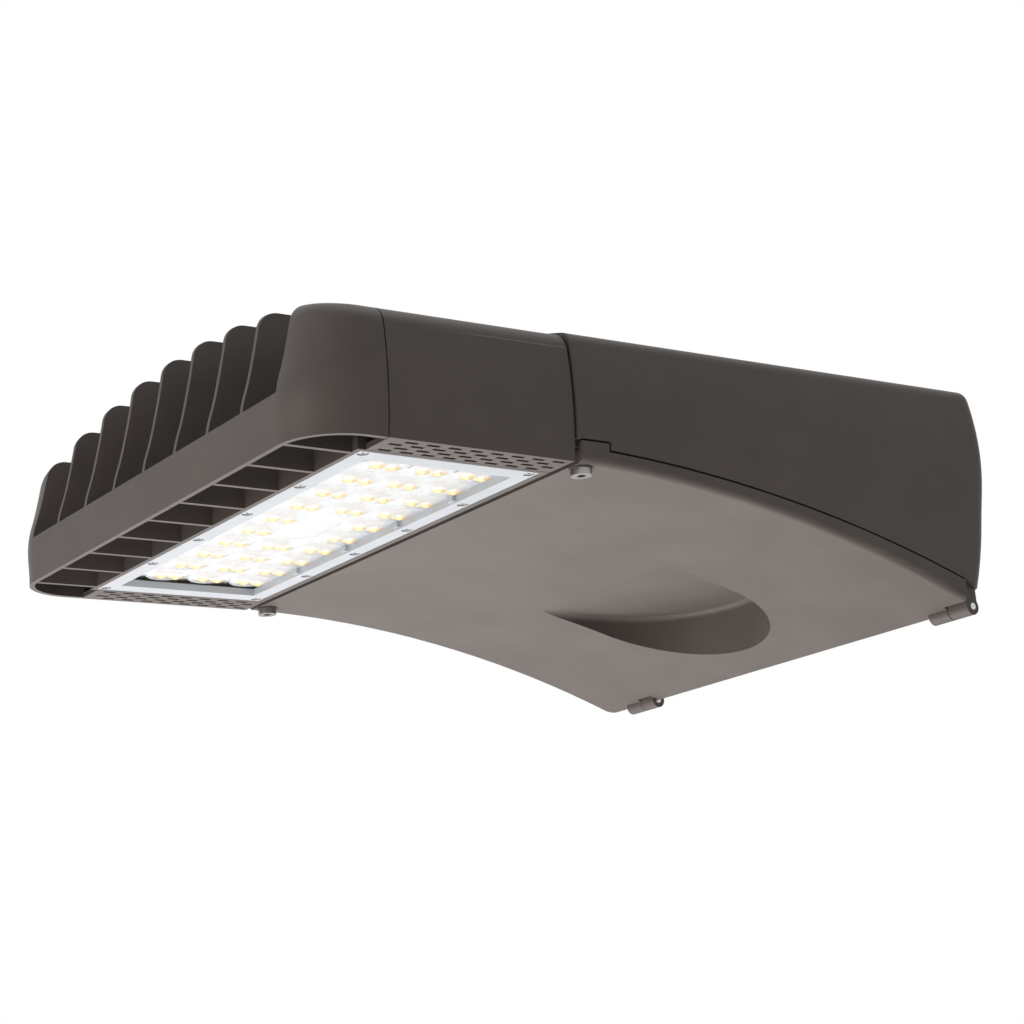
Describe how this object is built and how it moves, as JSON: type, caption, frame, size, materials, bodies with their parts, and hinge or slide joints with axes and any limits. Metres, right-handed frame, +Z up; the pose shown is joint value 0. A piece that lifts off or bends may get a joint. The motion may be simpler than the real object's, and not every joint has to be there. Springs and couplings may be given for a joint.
{
  "type": "area light",
  "caption": "Shoebox area light: finned LED head in front, driver housing behind it, and a hinged bottom door held by captive screws; fixed to an arm at the rear pad.",
  "frame": {"origin": "centre of the flat mounting pad on the rear wall, midway between the two arm bolt holes, on the pad's face", "axes": "+X from the pad to the nose, +Y to the side of the door hinge's open end, +Z up; the light shines down, along -Z"},
  "size_m": [0.4633, 0.3486, 0.1614],
  "materials": {
    "bronze_coat": "cast aluminium under a dark bronze, finely textured powder coat",
    "stainless_steel": "plain stainless",
    "zinc_steel": "zinc plated",
    "black_rubber": "matt moulded",
    "thermal_sheet": "soft grey sheet",
    "white_board": "white solder resist",
    "led_phosphor": "yellow phosphor under clear silicone",
    "white_plastic": "moulded",
    "clear_acrylic": "clear, lightly frosted",
    "grey_plastic": "satin grey",
    "driver_case": "plain drawn case",
    "black_plastic": "moulded",
    "red_insulation": "extruded",
    "black_insulation": "extruded",
    "white_insulation": "extruded",
    "green_steel": "green coated"
  },
  "bodies": {
    "housing": {"heat_sink": "bronze_coat", "side_cover_left": "bronze_coat", "side_cover_right": "bronze_coat", "side_cover_screws": "stainless_steel", "thermal_pad": "thermal_sheet", "led_board": "white_board", "board_screws": "stainless_steel", "leds": "led_phosphor", "board_connector": "white_plastic", "optic_gasket": "black_rubber", "lens_array": "clear_acrylic", "optic_frame": "grey_plastic", "optic_screws": "stainless_steel", "driver_housing": "bronze_coat", "seam_gasket": "black_rubber", "joint_screws": "zinc_steel", "wire_grommet": "black_rubber", "backing_plate": "zinc_steel", "plate_screws": "zinc_steel", "entry_bushing": "black_rubber", "led_driver": "driver_case", "led_driver_screws": "zinc_steel", "surge_protector": "black_plastic", "surge_protector_screws": "zinc_steel", "terminal_block": "white_plastic", "terminal_block_screws": "zinc_steel", "gear_tray": "zinc_steel", "tray_screws": "zinc_steel", "ground_screw": "green_steel", "output_leads": "red_insulation", "input_leads": "black_insulation", "surge_leads": "white_insulation", "hinge_pin_left": "stainless_steel", "hinge_pin_right": "stainless_steel"},
    "door": {"door_pan": "bronze_coat", "door_gasket": "black_rubber"},
    "screw_left": {"captive_screw_left": "stainless_steel", "retaining_washer_left": "stainless_steel"},
    "screw_right": {"captive_screw_right": "stainless_steel", "retaining_washer_right": "stainless_steel"}
  },
  "joints": [
    {"name": "door_hinge", "type": "hinge", "parent": "housing", "child": "door", "pos_m": [0.0215, 0, -0.0758], "axis": [0, 1, 0], "range_deg": [0, 90]},
    {"name": "captive_screw_left_slide", "type": "slide", "parent": "door", "child": "screw_left", "axis": [0, 0, -1], "range_m": [0, 0.0031]},
    {"name": "captive_screw_right_slide", "type": "slide", "parent": "door", "child": "screw_right", "axis": [0, 0, -1], "range_m": [0, 0.0031]}
  ]
}
